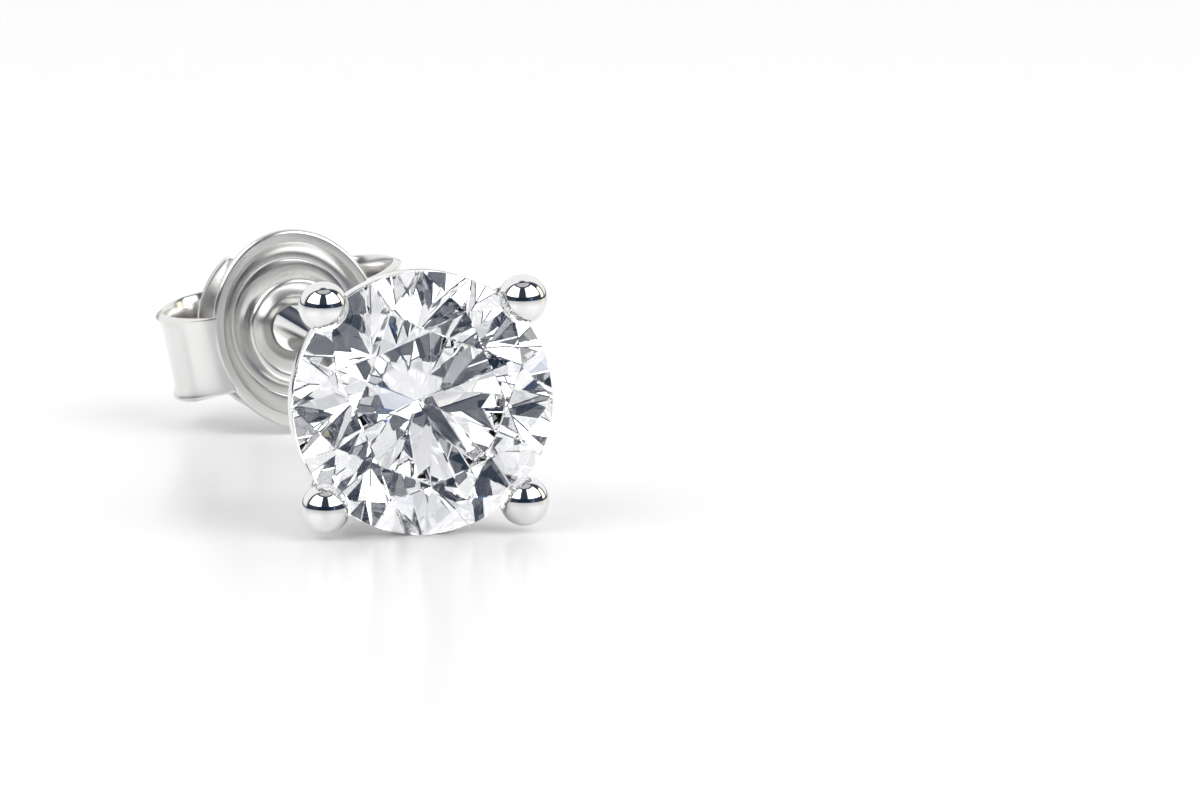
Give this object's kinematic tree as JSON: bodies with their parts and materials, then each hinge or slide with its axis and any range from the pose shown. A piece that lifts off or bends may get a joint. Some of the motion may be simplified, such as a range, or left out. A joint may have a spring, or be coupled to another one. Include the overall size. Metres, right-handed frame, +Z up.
{
  "type": "stud earring",
  "caption": "Stud earring with one round brilliant stone in a four-prong basket with ball tips, a straight post and a butterfly clutch on it.",
  "frame": {"origin": "on the table, under the middle of the whole stud", "axes": "+Z up from the table; -Y the way the stone faces; +Y back along the post, which dips about 2 degrees; +X to the right of someone who looks at the stone"},
  "size_m": [0.0054, 0.016, 0.0052],
  "materials": {
    "stone": "clear faceted diamond",
    "setting_metal": "mirror-polished white gold",
    "clutch_metal": "polished white gold, slightly softer than the setting"
  },
  "bodies": {
    "stud": {"stone": "stone", "basket_setting": "setting_metal"},
    "clutch": {"butterfly_clutch": "clutch_metal"}
  },
  "joints": [
    {"name": "clutch_slide", "type": "slide", "parent": "stud", "child": "clutch", "axis": [0, 0.9994, -0.0343], "range_m": [-0.0089, 0.0034]}
  ]
}
